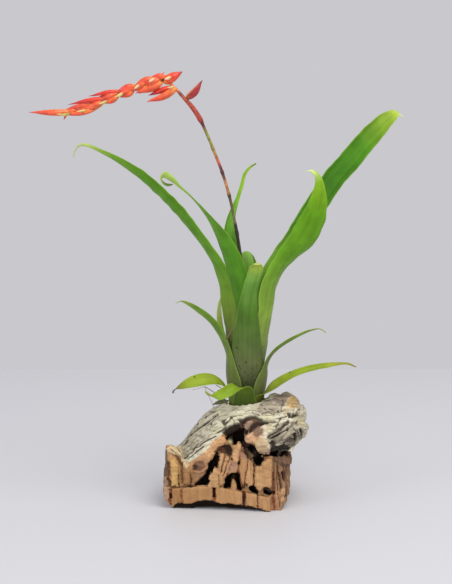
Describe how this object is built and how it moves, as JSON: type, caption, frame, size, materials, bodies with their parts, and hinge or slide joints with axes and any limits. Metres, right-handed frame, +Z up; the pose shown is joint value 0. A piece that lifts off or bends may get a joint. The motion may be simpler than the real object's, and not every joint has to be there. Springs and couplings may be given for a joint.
{
  "type": "flowering bromeliad (racinaea dyeriana) growing on a chunk of cork bark",
  "caption": "Upright bromeliad with curling strap leaves and an arching orange-red flower spike, growing on a standing chunk of cork bark.",
  "frame": {"origin": "on the ground, under the middle of the whole object's box", "axes": "+Z up along the plant's leaf tube, -Y towards the broken front of the cork, -X the way the flower spike leans"},
  "size_m": [0.3158, 0.136, 0.3662],
  "materials": {
    "cork_bark": "rough weathered cork, matte",
    "stem": "dry and fibrous, matte",
    "leaf": "living strap leaf, satin",
    "young_leaf": "thin pale leaf, satin",
    "flower_spike": "papery waxy bract, satin"
  },
  "bodies": {
    "root": {"cork_mount": "cork_bark", "stem": "stem", "leaf_front": "leaf", "leaf_back_centre": "leaf", "leaf_back_tall": "leaf", "leaf_left_hooked": "leaf", "leaf_left_long": "leaf", "leaf_right_front": "leaf", "leaf_right_long": "leaf", "leaf_left_small": "leaf", "leaf_right_small": "leaf", "leaf_right_low": "young_leaf", "leaf_left_low": "young_leaf", "leaf_front_low": "young_leaf", "leaf_left_stub": "leaf", "leaf_left_sliver": "young_leaf", "inflorescence": "flower_spike"}
  },
  "joints": []
}
